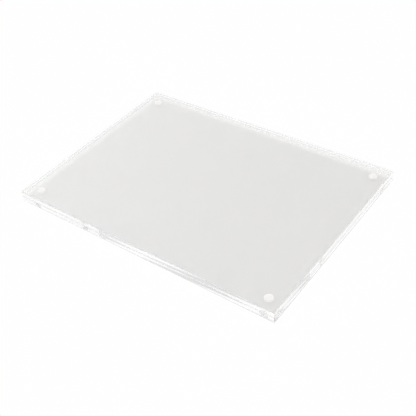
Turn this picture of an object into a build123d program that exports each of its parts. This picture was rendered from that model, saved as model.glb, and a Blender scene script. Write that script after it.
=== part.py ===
from build123d import *
import os

# A frameless magnetic photo frame, lying on its back. Two clear acrylic plates take a print between
# them, and a pair of disc magnets in each corner draws the plates together.
# The origin lies on the table under the middle of the frame. +X runs along the long side, +Y along the
# short side, +Z is up through the front plate. All sizes are in millimetres.

# Plates, cut for a 5 x 7 inch print
plate_length = 177.8
plate_width = 127.0
plate_thickness = 3.0
corner_radius = 0.8
edge_bevel = 0.25

# Disc magnets, measured from the plate's edges to the middle of each disc
magnet_diameter = 5.0
magnet_thickness = 1.0
magnet_rim_radius = 0.2
magnet_inset = 8.5

# Fits: glue fills the room round each magnet, and the magnets stand a little proud of the inner faces,
# so that each pair meets and the plates leave a slot for the print
glue_film = 0.05
pocket_clearance = 0.05
magnet_proud = 0.1

# Sizes that follow
pocket_radius = magnet_diameter / 2 + pocket_clearance
pocket_depth = magnet_thickness + glue_film - magnet_proud
print_slot = 2 * magnet_proud
frame_thickness = 2 * plate_thickness + print_slot
magnet_spacing_x = plate_length - 2 * magnet_inset
magnet_spacing_y = plate_width - 2 * magnet_inset

# Each plate and its magnets are set out from the plate's outer face, with the plane's normal pointing
# inwards to the print
outer_faces = {
    "back": Plane.XY,
    "front": Plane(origin=(0, 0, frame_thickness), x_dir=(1, 0, 0), z_dir=(0, 0, -1)),
}

# The corners, named as they are when the frame stands on its long side and is seen from the front
corner_points = {
    "top_left": (-magnet_spacing_x / 2, magnet_spacing_y / 2),
    "top_right": (magnet_spacing_x / 2, magnet_spacing_y / 2),
    "bottom_left": (-magnet_spacing_x / 2, -magnet_spacing_y / 2),
    "bottom_right": (magnet_spacing_x / 2, -magnet_spacing_y / 2),
}

os.makedirs("parts", exist_ok=True)

for side, outer_face in outer_faces.items():
    # A clear plate with bevelled edges and four blind magnet pockets in its inner face
    inner_face = outer_face.offset(plate_thickness)
    with BuildPart() as plate:
        with BuildSketch(outer_face):
            RectangleRounded(plate_length, plate_width, corner_radius)
        extrude(amount=plate_thickness)
        chamfer(plate.faces().filter_by(Axis.Z).edges(), edge_bevel)
        with Locations(inner_face):
            with GridLocations(magnet_spacing_x, magnet_spacing_y, 2, 2):
                Hole(pocket_radius, depth=pocket_depth)
    plate.part.label = f"{side}_plate"
    export_step(plate.part, f"parts/{plate.part.label}.step")

    # The plate's four disc magnets, each glued to the floor of its pocket
    magnet_seat = outer_face.offset(plate_thickness - pocket_depth + glue_film)
    for corner, (corner_x, corner_y) in corner_points.items():
        disc_plane = Plane(origin=(corner_x, corner_y, magnet_seat.origin.Z), z_dir=magnet_seat.z_dir)
        with BuildPart() as magnet:
            with BuildSketch(disc_plane):
                Circle(magnet_diameter / 2)
            extrude(amount=magnet_thickness)
            fillet(magnet.edges().filter_by(GeomType.CIRCLE), magnet_rim_radius)
        magnet.part.label = f"{side}_magnet_{corner}"
        export_step(magnet.part, f"parts/{magnet.part.label}.step")
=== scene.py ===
import math

import bmesh
import bpy
from mathutils import Matrix, Vector


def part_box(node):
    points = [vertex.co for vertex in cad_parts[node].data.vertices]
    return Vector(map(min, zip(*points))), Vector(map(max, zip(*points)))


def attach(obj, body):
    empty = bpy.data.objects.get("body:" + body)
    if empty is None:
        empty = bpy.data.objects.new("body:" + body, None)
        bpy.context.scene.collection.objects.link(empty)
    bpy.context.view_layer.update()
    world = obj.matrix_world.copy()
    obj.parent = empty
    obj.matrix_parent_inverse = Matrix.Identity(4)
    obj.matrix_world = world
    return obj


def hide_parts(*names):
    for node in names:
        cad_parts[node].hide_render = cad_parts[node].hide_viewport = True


# A clear magnetic photo frame on a white table: polished acrylic plates and satin nickel disc magnets.
# Everything is in metres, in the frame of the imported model.
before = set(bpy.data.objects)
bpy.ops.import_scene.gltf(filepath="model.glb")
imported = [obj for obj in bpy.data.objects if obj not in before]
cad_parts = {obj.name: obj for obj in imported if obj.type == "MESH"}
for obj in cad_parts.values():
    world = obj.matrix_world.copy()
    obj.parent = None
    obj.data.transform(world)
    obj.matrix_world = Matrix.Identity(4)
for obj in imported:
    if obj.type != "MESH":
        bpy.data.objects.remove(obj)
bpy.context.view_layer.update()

MM = 0.001

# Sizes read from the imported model. The discs lie evenly about the origin, so the two sides of one disc
# add up to the spacing between the middles of two.
back_low, back_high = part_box("back_plate")
_, front_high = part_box("front_plate")
disc_low, disc_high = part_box("back_magnet_top_right")
plate_length = back_high.x - back_low.x
plate_width = back_high.y - back_low.y
plate_thickness = back_high.z - back_low.z
frame_height = front_high.z
disc_diameter = disc_high.x - disc_low.x
disc_thickness = disc_high.z - disc_low.z
disc_spacing_x = disc_high.x + disc_low.x
disc_spacing_y = disc_high.y + disc_low.y
disc_skin = disc_low.z

# Fine sizes of the plates
corner_radius = 0.8 * MM
corner_steps = 8
edge_round = 0.15 * MM
edge_steps = 5

# The discs, glued in without air: the wall and floor of a pocket lie inside its disc by the bond
glue_bond = 0.02 * MM
pocket_radius = disc_diameter / 2 - glue_bond
pocket_depth = plate_thickness - disc_skin - glue_bond
pocket_steps = 96
disc_steps = 128
rim_radius = 0.2 * MM
rim_steps = 5
corner_names = ("top_left", "top_right", "bottom_left", "bottom_right")

# Faces that meet at more than the sharp angle have a sharp edge between them, and a face whose normal
# lies along an axis, to this cosine, is flat
sharp_angle = math.radians(40)
flat_face_cosine = 0.9999

# Quarter turns, with the signs of X and Y in each, and the edges of the plates as axis and sign
quarter_turn = math.pi / 2
quarter_signs = ((1, 1), (-1, 1), (-1, -1), (1, -1))
far_edges = (("X", -1), ("Y", 1))
all_edges = (("X", -1), ("X", 1), ("Y", -1), ("Y", 1))
half_sides = {"X": plate_length / 2, "Y": plate_width / 2}

# Smooth noise keeps mostly within this range
noise_range = (0.3, 0.7)

# Clear acrylic: long waves in the cast faces, saw lines left in the edges, wipe marks on all of it
acrylic_tint = (1.0, 1.0, 0.995, 1.0)
acrylic_index = 1.49
wave_length = 40 * MM
wave_height = 0.02 * MM
saw_line_width = 0.5 * MM
saw_line_length = 20 * MM
saw_line_depth = 0.0003 * MM
wipe_mark_size = 15 * MM
wiped_roughness = 0.0
smeared_roughness = 0.02

# Nickel plating: a tumbled satin grain
nickel_tint = (0.98, 0.972, 0.962, 1.0)
grain_size = 0.25 * MM
grain_depth = 0.004 * MM
bright_roughness = 0.5
dull_roughness = 0.65

# The photograph's viewpoint, towards a point on the front plate
camera_aim = Vector((16.2 * MM, -17.9 * MM, frame_height))
camera_distance = 400.1 * MM
camera_azimuth = math.radians(40.61)
camera_elevation = math.radians(40.31)
camera_roll = math.radians(-6.29)
camera_lens = 62.0
camera_sensor = 36.0
camera_clip_start = 10 * MM

# The table. Its white share is lowered under the frame as a painted shade that falls from left to right,
# raised in a strip under the far edges as a painted light strip, and nearly full beside the frame.
table_size = 6.0
table_gap = 0.1 * MM
table_albedo = 0.65
white_in_painted_shade_left = 0.498
white_in_painted_shade_right = 0.398
white_in_painted_light_strip = 0.74
white_beside_frame = 0.98
painted_light_strip_inset = 4.5 * MM
painted_light_strip_fade = 1.6 * MM
white_starts_within = 0.3 * MM

# The light tent, with a darker patch behind the frame and a lamp's glow over its left. Each patch adds
# its light in full out to its middle and none past its rim.
tent_light = 0.96
dark_patch = {
    "towards": Vector((-0.3, 0.66, 0.69)),
    "middle": math.radians(8),
    "rim": math.radians(32),
    "light": -0.288,
}
lamp_patch = {
    "towards": Vector((-0.4, 0.2, 0.9)),
    "middle": 0.0,
    "rim": math.radians(20),
    "light": 2.16,
}

# Light trapped between the polished faces is thrown to and fro many times before it leaves at an edge
longest_light_path = 192


def add_node(tree, kind, **settings):
    """A new node with its properties set."""
    node = tree.nodes.new(kind)
    for name, value in settings.items():
        setattr(node, name, value)
    return node


def new_material(name):
    """An empty node material and its node tree."""
    material = bpy.data.materials.new(name)
    material.use_nodes = True
    material.node_tree.nodes.clear()
    return material, material.node_tree


def show_shader(tree, shader):
    """Lead the shader to the material's output."""
    output = add_node(tree, "ShaderNodeOutputMaterial")
    tree.links.new(shader, output.inputs["Surface"])


def new_piece(name, mesh):
    """A mesh object in the scene, at the origin."""
    piece = bpy.data.objects.new(name, mesh)
    bpy.context.scene.collection.objects.link(piece)
    return piece


def map_range(tree, value, source, target):
    """The value carried from the source range to the target range and held at its ends."""
    carried = add_node(tree, "ShaderNodeMapRange")
    for name, limit in zip(("From Min", "From Max", "To Min", "To Max"), (*source, *target)):
        carried.inputs[name].default_value = limit
    tree.links.new(value, carried.inputs["Value"])
    return carried.outputs["Result"]


def largest(tree, values):
    """The largest of several values."""
    result = values[0]
    for value in values[1:]:
        larger = add_node(tree, "ShaderNodeMath", operation="MAXIMUM")
        tree.links.new(result, larger.inputs[0])
        tree.links.new(value, larger.inputs[1])
        result = larger.outputs[0]
    return result


def noise(tree, size, stretch=1.0):
    """Smooth noise over the piece, with features of one size, drawn out along Z."""
    coordinates = add_node(tree, "ShaderNodeTexCoord")
    scaled = add_node(tree, "ShaderNodeMapping")
    scaled.inputs["Scale"].default_value = (1 / size, 1 / size, 1 / (size * stretch))
    tree.links.new(coordinates.outputs["Object"], scaled.inputs["Vector"])
    pattern = add_node(tree, "ShaderNodeTexNoise")
    pattern.inputs["Scale"].default_value = 1.0
    tree.links.new(scaled.outputs["Vector"], pattern.inputs["Vector"])
    return pattern.outputs["Fac"]


def relief(tree, pattern, depth):
    """A bump node that gives the surface the pattern as a relief of this depth."""
    bump = add_node(tree, "ShaderNodeBump")
    bump.inputs["Distance"].default_value = depth
    tree.links.new(pattern, bump.inputs["Height"])
    return bump


def on_edges(tree):
    """1 on the upright edges of a plate, 0 on its flat faces."""
    coordinates = add_node(tree, "ShaderNodeTexCoord")
    facing = add_node(tree, "ShaderNodeSeparateXYZ")
    tree.links.new(coordinates.outputs["Normal"], facing.inputs["Vector"])
    upward = add_node(tree, "ShaderNodeMath", operation="ABSOLUTE")
    tree.links.new(facing.outputs["Z"], upward.inputs[0])
    sideways = add_node(tree, "ShaderNodeMath", operation="SUBTRACT")
    sideways.inputs[0].default_value = 1.0
    tree.links.new(upward.outputs[0], sideways.inputs[1])
    return sideways.outputs[0]


def polished_acrylic():
    """Clear cast acrylic: polished faces with long waves, and edges with faint lines of the saw."""
    material, tree = new_material("polished_acrylic")
    waves = relief(tree, noise(tree, wave_length), wave_height)
    saw_pattern = noise(tree, saw_line_width, saw_line_length / saw_line_width)
    saw_lines = relief(tree, saw_pattern, saw_line_depth)
    tree.links.new(on_edges(tree), saw_lines.inputs["Strength"])
    tree.links.new(waves.outputs["Normal"], saw_lines.inputs["Normal"])
    wipe_marks = noise(tree, wipe_mark_size)
    roughness = map_range(tree, wipe_marks, noise_range, (wiped_roughness, smeared_roughness))
    surface = add_node(tree, "ShaderNodeBsdfPrincipled")
    surface.inputs["Base Color"].default_value = acrylic_tint
    surface.inputs["Transmission Weight"].default_value = 1.0
    surface.inputs["IOR"].default_value = acrylic_index
    tree.links.new(roughness, surface.inputs["Roughness"])
    tree.links.new(saw_lines.outputs["Normal"], surface.inputs["Normal"])
    show_shader(tree, surface.outputs["BSDF"])
    return material


def satin_nickel():
    """Nickel plating with a soft, tumbled grain."""
    material, tree = new_material("satin_nickel")
    grain = noise(tree, grain_size)
    pits = relief(tree, grain, grain_depth)
    roughness = map_range(tree, grain, noise_range, (bright_roughness, dull_roughness))
    surface = add_node(tree, "ShaderNodeBsdfPrincipled")
    surface.inputs["Base Color"].default_value = nickel_tint
    surface.inputs["Metallic"].default_value = 1.0
    tree.links.new(roughness, surface.inputs["Roughness"])
    tree.links.new(pits.outputs["Normal"], surface.inputs["Normal"])
    show_shader(tree, surface.outputs["BSDF"])
    return material


def past_edges(tree, place, edges):
    """How far a point of the table lies past the nearest of these edges of the plates."""
    distances = []
    for axis, sign in edges:
        past = add_node(tree, "ShaderNodeMath", operation="MULTIPLY_ADD")
        past.inputs[1].default_value = sign
        past.inputs[2].default_value = -half_sides[axis]
        tree.links.new(place.outputs[axis], past.inputs[0])
        distances.append(past.outputs[0])
    return largest(tree, distances)


def white_share_and_painted_shade(tree):
    """The white share of the table: nearly all of it beside the frame, less under the plates as a painted
    shade that falls from left to right, where the table's own shade also shows, and more again in a painted
    light strip under the far edges."""
    coordinates = add_node(tree, "ShaderNodeTexCoord")
    place = add_node(tree, "ShaderNodeSeparateXYZ")
    tree.links.new(coordinates.outputs["Object"], place.inputs["Vector"])
    # Painted shade under the frame: the white share falls from left to right, whatever the light
    painted_shade_under_frame = map_range(
        tree,
        place.outputs["X"],
        (-half_sides["X"], half_sides["X"]),
        (white_in_painted_shade_left, white_in_painted_shade_right),
    )
    # A painted light strip: the white share rises under the two far edges of the plates
    painted_light_strip = map_range(
        tree,
        past_edges(tree, place, far_edges),
        (-painted_light_strip_inset, painted_light_strip_fade - painted_light_strip_inset),
        (white_in_painted_shade_right, white_in_painted_light_strip),
    )
    beside_frame = map_range(
        tree,
        past_edges(tree, place, all_edges),
        (0.0, white_starts_within),
        (0.0, white_beside_frame),
    )
    return largest(tree, (painted_shade_under_frame, painted_light_strip, beside_frame))


def white_table():
    """A white table top: it shows as white to the eye and in glass and metal, and keeps a light shadow,
    with a painted shade under the frame and a painted light strip under its far edges.
    """
    material, tree = new_material("white_table")
    light_path = add_node(tree, "ShaderNodeLightPath")
    rays = ("Is Camera Ray", "Is Glossy Ray", "Is Transmission Ray")
    seen = largest(tree, [light_path.outputs[ray] for ray in rays])
    share = add_node(tree, "ShaderNodeMath", operation="MULTIPLY")
    tree.links.new(seen, share.inputs[0])
    tree.links.new(white_share_and_painted_shade(tree), share.inputs[1])
    paint = add_node(tree, "ShaderNodeBsdfDiffuse")
    paint.inputs["Color"].default_value = (table_albedo, table_albedo, table_albedo, 1.0)
    white = add_node(tree, "ShaderNodeEmission")
    mix = add_node(tree, "ShaderNodeMixShader")
    tree.links.new(share.outputs[0], mix.inputs["Fac"])
    tree.links.new(paint.outputs["BSDF"], mix.inputs[1])
    tree.links.new(white.outputs["Emission"], mix.inputs[2])
    show_shader(tree, mix.outputs["Shader"])
    return material


def shade_rounds(data):
    """Smooth shading on the rounds only, so that the flat faces reflect and refract as true planes."""
    data.set_sharp_from_angle(angle=sharp_angle)
    for polygon in data.polygons:
        polygon.use_smooth = max(abs(part) for part in polygon.normal) < flat_face_cosine


def heading(angle):
    """The unit vector at an angle in the XY plane."""
    return Vector((math.cos(angle), math.sin(angle)))


def plate_outline(inset):
    """The plate's outline drawn in by inset, as points in the XY plane, with a short straight lead beside
    each corner arc."""
    points = []
    for quarter, (side_x, side_y) in enumerate(quarter_signs):
        middle = Vector((
            side_x * (half_sides["X"] - corner_radius),
            side_y * (half_sides["Y"] - corner_radius),
        ))
        start = quarter * quarter_turn
        arc = []
        for step in range(corner_steps + 1):
            angle = start + quarter_turn * step / corner_steps
            arc.append(middle + (corner_radius - inset) * heading(angle))
        lead_in = arc[0] - corner_radius * heading(start + quarter_turn)
        lead_out = arc[-1] + corner_radius * heading(start + 2 * quarter_turn)
        points += [lead_in, *arc, lead_out]
    return points


def ring(mesh, points, height):
    """A closed loop of vertices at one height."""
    return [mesh.verts.new((point.x, point.y, height)) for point in points]


def join_rings(mesh, first, second):
    """A band of quads between two loops with as many vertices."""
    count = len(first)
    for index in range(count):
        after = (index + 1) % count
        mesh.faces.new((first[index], first[after], second[after], second[index]))


def loop_edges(mesh, loop):
    """The edges round a loop of vertices, made where they are missing."""
    edges = []
    for index, vertex in enumerate(loop):
        ends = (vertex, loop[(index + 1) % len(loop)])
        edges.append(mesh.edges.get(ends) or mesh.edges.new(ends))
    return edges


def clear_plate(name, outer_height, inwards, material):
    """A plate with rounded edges and blind magnet pockets, from its outer face inwards."""
    mesh = bmesh.new()
    profile = []
    for step in range(edge_steps + 1):
        angle = quarter_turn * step / edge_steps
        profile.append((edge_round * (1 - math.sin(angle)), edge_round * (1 - math.cos(angle))))
    profile += [(inset, plate_thickness - depth) for inset, depth in reversed(profile)]
    rings = []
    for inset, depth in profile:
        rings.append(ring(mesh, plate_outline(inset), outer_height + inwards * depth))
    for first, second in zip(rings, rings[1:]):
        join_rings(mesh, first, second)
    mesh.faces.new(rings[0])
    rims = loop_edges(mesh, rings[-1])
    for side_x, side_y in quarter_signs:
        middle = Vector((side_x * disc_spacing_x / 2, side_y * disc_spacing_y / 2))
        circle = []
        for step in range(pocket_steps):
            circle.append(middle + pocket_radius * heading(2 * math.pi * step / pocket_steps))
        mouth = ring(mesh, circle, outer_height + inwards * plate_thickness)
        floor = ring(mesh, circle, outer_height + inwards * (plate_thickness - pocket_depth))
        join_rings(mesh, mouth, floor)
        mesh.faces.new(floor)
        rims += loop_edges(mesh, mouth)
    bmesh.ops.triangle_fill(mesh, edges=rims, use_beauty=True, use_dissolve=False)
    bmesh.ops.recalc_face_normals(mesh, faces=mesh.faces)
    data = bpy.data.meshes.new(name)
    mesh.to_mesh(data)
    mesh.free()
    shade_rounds(data)
    data.materials.append(material)
    return new_piece(name, data)


def corner_discs_tree():
    """Geometry nodes: a disc on each corner of a rectangle."""
    tree = bpy.data.node_groups.new("corner_discs", "GeometryNodeTree")
    for name in ("Diameter", "Thickness", "Spacing X", "Spacing Y", "Middle Height"):
        tree.interface.new_socket(name, in_out="INPUT", socket_type="NodeSocketFloat")
    tree.interface.new_socket("Plating", in_out="INPUT", socket_type="NodeSocketMaterial")
    tree.interface.new_socket("Discs", in_out="OUTPUT", socket_type="NodeSocketGeometry")
    sizes = add_node(tree, "NodeGroupInput")
    result = add_node(tree, "NodeGroupOutput")
    corners = add_node(tree, "GeometryNodeMeshGrid")
    corners.inputs["Vertices X"].default_value = 2
    corners.inputs["Vertices Y"].default_value = 2
    tree.links.new(sizes.outputs["Spacing X"], corners.inputs["Size X"])
    tree.links.new(sizes.outputs["Spacing Y"], corners.inputs["Size Y"])
    radius = add_node(tree, "ShaderNodeMath", operation="DIVIDE")
    radius.inputs[1].default_value = 2.0
    tree.links.new(sizes.outputs["Diameter"], radius.inputs[0])
    disc = add_node(tree, "GeometryNodeMeshCylinder")
    disc.inputs["Vertices"].default_value = disc_steps
    tree.links.new(radius.outputs[0], disc.inputs["Radius"])
    tree.links.new(sizes.outputs["Thickness"], disc.inputs["Depth"])
    placed = add_node(tree, "GeometryNodeInstanceOnPoints")
    tree.links.new(corners.outputs["Mesh"], placed.inputs["Points"])
    tree.links.new(disc.outputs["Mesh"], placed.inputs["Instance"])
    rise = add_node(tree, "ShaderNodeCombineXYZ")
    tree.links.new(sizes.outputs["Middle Height"], rise.inputs["Z"])
    lifted = add_node(tree, "GeometryNodeTransform")
    tree.links.new(placed.outputs["Instances"], lifted.inputs["Geometry"])
    tree.links.new(rise.outputs["Vector"], lifted.inputs["Translation"])
    real = add_node(tree, "GeometryNodeRealizeInstances")
    tree.links.new(lifted.outputs["Geometry"], real.inputs["Geometry"])
    plated = add_node(tree, "GeometryNodeSetMaterial")
    tree.links.new(real.outputs["Geometry"], plated.inputs["Geometry"])
    tree.links.new(sizes.outputs["Plating"], plated.inputs["Material"])
    tree.links.new(plated.outputs["Geometry"], result.inputs["Discs"])
    return tree


def corner_magnets(name, tree, middle_height, material):
    """One plate's four disc magnets with rounded rims, as a plain mesh."""
    piece = new_piece(name, bpy.data.meshes.new(name))
    discs = piece.modifiers.new("discs", "NODES")
    discs.node_group = tree
    values = {
        "Diameter": disc_diameter,
        "Thickness": disc_thickness,
        "Spacing X": disc_spacing_x,
        "Spacing Y": disc_spacing_y,
        "Middle Height": middle_height,
        "Plating": material,
    }
    for socket in tree.interface.items_tree:
        if socket.name in values:
            discs[socket.identifier] = values[socket.name]
    rims = piece.modifiers.new("rims", "BEVEL")
    rims.width = rim_radius
    rims.segments = rim_steps
    rims.limit_method = "ANGLE"
    rims.angle_limit = sharp_angle
    bpy.context.view_layer.update()
    graph = bpy.context.evaluated_depsgraph_get()
    data = bpy.data.meshes.new_from_object(piece.evaluated_get(graph))
    data.name = name
    shade_rounds(data)
    piece.modifiers.clear()
    piece.data = data
    return piece


def studio_table():
    """The white table that the frame lies on."""
    half = table_size / 2
    data = bpy.data.meshes.new("table")
    corners = [(side_x * half, side_y * half, -table_gap) for side_x, side_y in quarter_signs]
    data.from_pydata(corners, [], [(0, 1, 2, 3)])
    data.materials.append(white_table())
    new_piece("table", data)


def patch_light(tree, direction, towards, middle, rim, light):
    """The light that a round patch of the tent adds in a direction."""
    nearness = add_node(tree, "ShaderNodeVectorMath", operation="DOT_PRODUCT")
    nearness.inputs[1].default_value = towards.normalized()
    tree.links.new(direction, nearness.inputs[0])
    return map_range(tree, nearness.outputs["Value"], (math.cos(rim), math.cos(middle)), (0.0, light))


def light_tent():
    """Soft white light from all sides, with the tent's two patches."""
    world = bpy.data.worlds.new("light_tent")
    world.use_nodes = True
    tree = world.node_tree
    tree.nodes.clear()
    direction = add_node(tree, "ShaderNodeTexCoord").outputs["Generated"]
    light = add_node(tree, "ShaderNodeValue").outputs[0]
    light.default_value = tent_light
    for patch in (dark_patch, lamp_patch):
        total = add_node(tree, "ShaderNodeMath", operation="ADD")
        tree.links.new(light, total.inputs[0])
        tree.links.new(patch_light(tree, direction, **patch), total.inputs[1])
        light = total.outputs[0]
    sky = add_node(tree, "ShaderNodeBackground")
    sky.inputs["Color"].default_value = (1.0, 1.0, 1.0, 1.0)
    tree.links.new(light, sky.inputs["Strength"])
    output = add_node(tree, "ShaderNodeOutputWorld")
    tree.links.new(sky.outputs["Background"], output.inputs["Surface"])
    bpy.context.scene.world = world


def photograph_camera():
    """The camera at the photograph's viewpoint."""
    lens = bpy.data.cameras.new("camera")
    lens.lens = camera_lens
    lens.sensor_width = camera_sensor
    lens.clip_start = camera_clip_start
    camera = bpy.data.objects.new("camera", lens)
    back = Vector((
        math.sin(camera_azimuth) * math.cos(camera_elevation),
        -math.cos(camera_azimuth) * math.cos(camera_elevation),
        math.sin(camera_elevation),
    ))
    turn = (-back).to_track_quat("-Z", "Y").to_matrix() @ Matrix.Rotation(camera_roll, 3, "Z")
    camera.matrix_world = Matrix.Translation(camera_aim + back * camera_distance) @ turn.to_4x4()
    bpy.context.scene.collection.objects.link(camera)
    bpy.context.scene.camera = camera


acrylic = polished_acrylic()
nickel = satin_nickel()
discs_tree = corner_discs_tree()

for body, outer_height, inwards in (("back", 0.0, 1), ("front", frame_height, -1)):
    plate = clear_plate(f"{body}_clear_plate", outer_height, inwards, acrylic)
    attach(plate, body)
    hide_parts(f"{body}_plate")
    middle_height = outer_height + inwards * (disc_skin + disc_thickness / 2)
    magnets = corner_magnets(f"{body}_disc_magnets", discs_tree, middle_height, nickel)
    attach(magnets, body)
    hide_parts(*(f"{body}_magnet_{corner}" for corner in corner_names))

studio_table()
light_tent()
photograph_camera()

# The denoiser takes no normals, because they leave specks along the clear edges
scene = bpy.context.scene
scene.view_settings.view_transform = "Standard"
scene.cycles.blur_glossy = 0.0
scene.cycles.denoising_input_passes = "RGB_ALBEDO"
scene.cycles.max_bounces = longest_light_path
scene.cycles.glossy_bounces = longest_light_path
scene.cycles.transmission_bounces = longest_light_path
